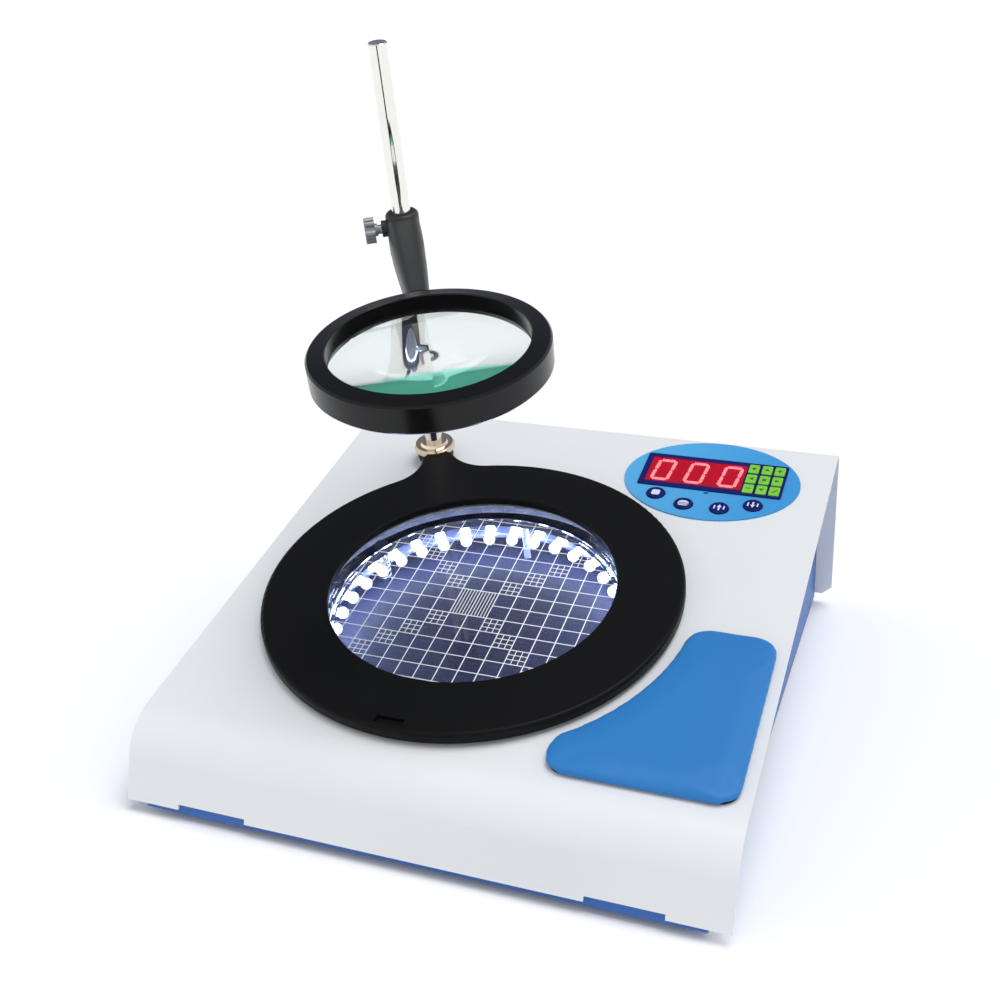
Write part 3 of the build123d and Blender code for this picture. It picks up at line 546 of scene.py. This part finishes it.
def palm_rest_material():
    """Soft blue skin: a fine leather-like grain and a dull sheen."""
    material, tree, shader = nodes_of("palm_rest_skin")
    place = object_place(tree)
    cells = add(tree, "ShaderNodeTexVoronoi", Scale=1100.0, feature="SMOOTH_F1")
    tree.links.new(place, cells.inputs["Vector"])
    fine = add(tree, "ShaderNodeTexNoise", Scale=2600.0, Detail=3.0)
    tree.links.new(place, fine.inputs["Vector"])
    height = add(tree, "ShaderNodeMath", operation="MULTIPLY_ADD")
    height.inputs[1].default_value = 0.5
    tree.links.new(fine.outputs["Fac"], height.inputs[0])
    tree.links.new(cells.outputs["Distance"], height.inputs[2])
    bump = add(tree, "ShaderNodeBump", Strength=0.35, Distance=0.06 * MM)
    tree.links.new(height.outputs["Value"], bump.inputs["Height"])
    tree.links.new(bump.outputs["Normal"], shader.inputs["Normal"])
    tone = add(tree, "ShaderNodeTexNoise", Scale=18.0, Detail=3.0)
    tree.links.new(place, tone.inputs["Vector"])
    ramp = add(tree, "ShaderNodeValToRGB")
    ramp.color_ramp.elements[0].color = (0.020, 0.170, 0.47, 1)
    ramp.color_ramp.elements[1].color = (0.026, 0.200, 0.53, 1)
    tree.links.new(tone.outputs["Fac"], ramp.inputs["Fac"])
    tree.links.new(ramp.outputs["Color"], shader.inputs["Base Color"])
    shader.inputs["Roughness"].default_value = 0.46
    shader.inputs["Specular IOR Level"].default_value = 0.25
    shader.inputs["Sheen Weight"].default_value = 0.04
    shader.inputs["Sheen Roughness"].default_value = 0.4
    return material


def modify(obj, kind, **values):
    """A new modifier with its settings."""
    made = obj.modifiers.new(kind.title(), kind)
    for key, value in values.items():
        setattr(made, key, value)
    return made


def baked_mesh(obj):
    """The mesh an object shows with its modifiers."""
    graph = bpy.context.evaluated_depsgraph_get()
    return bpy.data.meshes.new_from_object(obj.evaluated_get(graph))


def palm_rest():
    """A foam pad under a skin: the CAD pad's shape, swollen a little by a cloth simulation, then smoothed."""
    source = frame["nodes"]["palm_rest"]
    pad = linked("palm_rest_pad", source.data.copy())
    modify(pad, "REMESH", mode="VOXEL", voxel_size=PAD_VOXEL * MM)
    pad.data = baked_mesh(pad)
    pad.modifiers.clear()
    start = [vertex.co.copy() for vertex in pad.data.vertices]
    low_n = min((p - ORIGIN).dot(N) for p in start)
    held = pad.vertex_groups.new(name="held")
    for index, place in enumerate(start):
        if (place - ORIGIN).dot(N) < low_n + PAD_HELD * MM:
            held.add([index], 1.0, "REPLACE")
    cloth = modify(pad, "CLOTH")
    cloth.settings.use_pressure = True
    cloth.settings.uniform_pressure_force = 3.0
    cloth.settings.vertex_group_mass = "held"
    cloth.settings.tension_stiffness = 25
    cloth.settings.compression_stiffness = 25
    cloth.settings.effector_weights.gravity = 0.0
    scene = bpy.context.scene
    for step in range(1, PAD_STEPS + 1):
        scene.frame_set(step)
    swollen = baked_mesh(pad)
    scene.frame_set(1)
    pad.modifiers.clear()
    pad.vertex_groups.clear()
    for vertex, before, after in zip(pad.data.vertices, start, swollen.vertices):
        move = after.co - before
        limit = PAD_GROWTH * MM
        if move.length > limit:
            move *= limit / move.length
        vertex.co = before + move
    modify(pad, "SMOOTH", factor=0.5, iterations=6)
    modify(pad, "SUBSURF", levels=1, render_levels=1)
    pad.data = baked_mesh(pad)
    pad.modifiers.clear()
    pad.data.materials.clear()
    pad.data.materials.append(palm_rest_material())
    pad.data.shade_smooth()
    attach(pad, "case")
    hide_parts("palm_rest")


palm_rest()


# ---------------------------------------------------------------- floor, light and camera

FLAT_R = 3.6                # the floor is flat out to here, in metres
BEND_R = 1.5                # and then curves up all round
FLOOR_SIDES = 96
CARD_CORNERS = ((-0.03, -0.175), (0.075, -0.175), (0.16, -0.75), (-0.02, -0.75))
DARK_CEILING = Vector((-0.30, 0.56, 0.77)).normalized()
CAMERA_PLACE = (221.0, -471.5, 416.0)
CAMERA_RIGHT = (0.93941, 0.33031, -0.09164)
CAMERA_DOWN = (0.11845, -0.56365, -0.81748)
CAMERA_AHEAD = (-0.32167, 0.75710, -0.56862)


def floor():
    """A pale floor that curves up into a low wall all round, like a studio cove."""
    bm = bmesh.new()
    profile = [(FLAT_R + BEND_R * math.sin(a), BEND_R * (1 - math.cos(a)))
               for a in (math.radians(8 * step) for step in range(12))]
    turns = [math.tau * side / FLOOR_SIDES for side in range(FLOOR_SIDES)]
    hub = bm.verts.new((0, 0, 0))
    rings = [[bm.verts.new((radius * math.cos(turn), radius * math.sin(turn), height)) for turn in turns]
             for radius, height in profile]
    for i in range(FLOOR_SIDES):
        j = (i + 1) % FLOOR_SIDES
        bm.faces.new((hub, rings[0][i], rings[0][j]))
        for inner, outer in zip(rings, rings[1:]):
            bm.faces.new((inner[i], outer[i], outer[j], inner[j]))
    pale = finish("pale_floor", (0.955, 0.957, 0.96), 0.8, mottle=0.004, grain=0.0, specular=0.1)
    mesh_object("floor", bm, pale, smooth=True)


def flag_card():
    """A black card in front of the case that only polished surfaces see, as photographers set for chrome."""
    bm = bmesh.new()
    bm.faces.new([bm.verts.new((x, y, 0.5 * MM)) for x, y in CARD_CORNERS])
    card = mesh_object("flag_card", bm, finish("flag_black", (0.004, 0.004, 0.004), 0.9, specular=0.0))
    card.visible_camera = False
    card.visible_diffuse = False
    card.visible_transmission = False
    card.visible_shadow = False


def sun(name, toward, power, spread):
    """A distant soft light that shines from a direction."""
    data = bpy.data.lights.new(name, "SUN")
    data.energy = power
    data.angle = math.radians(spread)
    made = linked(name, data)
    made.rotation_mode = "QUATERNION"
    made.rotation_quaternion = Vector(toward).to_track_quat("Z", "Y")


def studio_world():
    """White all round but for a darker ceiling behind the object, so that glass and gloss black stay dark."""
    world = bpy.data.worlds.new("studio")
    bpy.context.scene.world = world
    world.use_nodes = True
    tree = world.node_tree
    background = tree.nodes["Background"]
    direction = add(tree, "ShaderNodeTexCoord").outputs["Generated"]
    toward = add(tree, "ShaderNodeVectorMath", operation="DOT_PRODUCT")
    toward.inputs[1].default_value = DARK_CEILING
    tree.links.new(direction, toward.inputs[0])
    ramp = add(tree, "ShaderNodeValToRGB")
    ramp.color_ramp.interpolation = "EASE"
    ramp.color_ramp.elements[0].position = 0.76
    ramp.color_ramp.elements[0].color = (0.97, 0.985, 1.0, 1)
    ramp.color_ramp.elements[1].position = 0.88
    ramp.color_ramp.elements[1].color = (0.24, 0.26, 0.34, 1)
    tree.links.new(toward.outputs["Value"], ramp.inputs["Fac"])
    tree.links.new(ramp.outputs["Color"], background.inputs["Color"])
    background.inputs["Strength"].default_value = 0.74


def camera():
    """Above and to the right of the operator, level, looking down over the deck."""
    data = bpy.data.cameras.new("camera")
    data.lens = 46.7
    data.sensor_width = 36.0
    data.clip_start = 0.01
    data.clip_end = 50.0
    made = linked("camera", data)
    right, down, ahead = (U * u + V * v + N * n for u, v, n in (CAMERA_RIGHT, CAMERA_DOWN, CAMERA_AHEAD))
    turn = Matrix((right, -down, -ahead)).transposed()
    made.matrix_world = Matrix.Translation(deck(*CAMERA_PLACE)) @ turn.to_4x4()
    bpy.context.scene.camera = made


floor()
flag_card()
sun("key", (0.22, 0.02, 1.0), 1.65, 38.0)
studio_world()
camera()
bpy.context.scene.view_settings.view_transform = "Standard"
